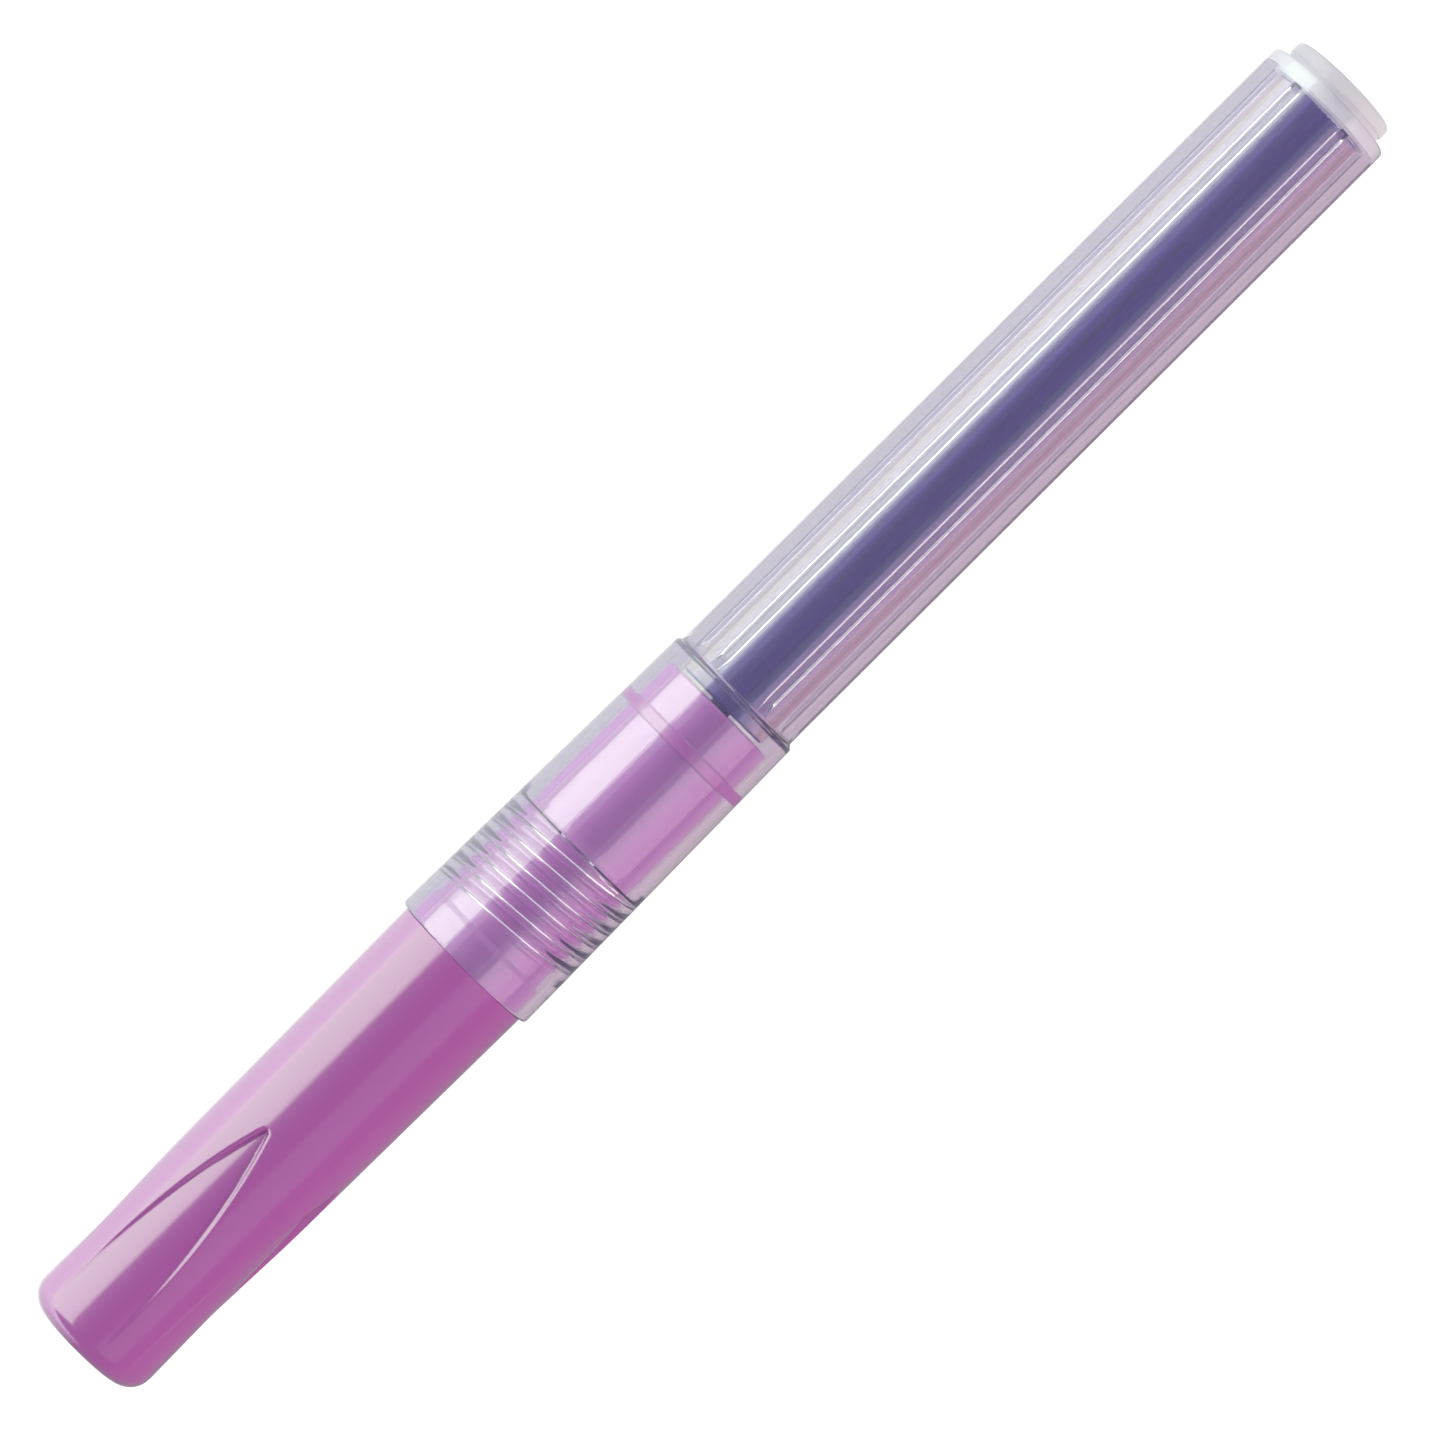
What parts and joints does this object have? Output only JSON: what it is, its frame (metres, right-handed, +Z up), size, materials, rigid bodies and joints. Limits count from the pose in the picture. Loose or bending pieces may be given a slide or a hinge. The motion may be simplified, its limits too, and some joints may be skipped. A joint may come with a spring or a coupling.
{
  "type": "brush pen",
  "caption": "Brush pen lying on its side: lilac pull-off cap with petal recesses, clear screw-on barrel with a threaded collar, dark fibre ink reservoir and a tail plug.",
  "frame": {"origin": "on the surface that the pen lies on, under the middle of its length; the pen's axis is 6.7 mm above it", "axes": "+X along the pen from the cap's closed end to the tail plug, +Z up, +Y to the left of +X"},
  "size_m": [0.14, 0.0134, 0.0134],
  "materials": {
    "lilac_plastic": "moulded, semi-gloss lilac",
    "white_plastic": "natural moulded plastic",
    "clear_plastic": "clear, polished",
    "bristle": "fine nylon bristles soaked in violet ink",
    "wick_fibre": "bonded fibre rod soaked in ink",
    "ink_fibre": "bundled fibre soaked in violet ink",
    "film": "thin clear wrap, gloss"
  },
  "bodies": {
    "section": {"front_section": "lilac_plastic", "nose_cone": "lilac_plastic", "bristle_root": "bristle", "bristle_retainer": "white_plastic", "feed_wick": "wick_fibre", "wick_holder": "white_plastic"},
    "cap": {"cap": "lilac_plastic", "cap_liner": "white_plastic"},
    "brush": {"bristle_tuft": "bristle"},
    "reservoir": {"ink_reservoir": "ink_fibre", "reservoir_film": "film"},
    "barrel": {"barrel": "clear_plastic", "tail_plug": "clear_plastic"}
  },
  "joints": [
    {"name": "cap_pull", "type": "slide", "parent": "section", "child": "cap", "axis": [-1, 0, 0], "range_m": [0, 0.045]},
    {"name": "brush_flex", "type": "hinge", "parent": "section", "child": "brush", "pos_m": [-0.046, 0, 0.0067], "axis": [0, 1, 0], "range_deg": [-12, 12], "stiffness_Nm_per_rad": 0.002},
    {"name": "barrel_draw", "type": "slide", "parent": "section", "child": "reservoir", "axis": [1, 0, 0], "range_m": [0, 0.0086]},
    {"name": "barrel_unscrew", "type": "hinge", "parent": "reservoir", "child": "barrel", "pos_m": [0, 0, 0.0067], "axis": [1, 0, 0], "range_deg": [0, 1080]}
  ],
  "couplings": [
    {"joint": "barrel_draw", "follows": "barrel_unscrew", "m_per_rad": 0.00045518}
  ]
}
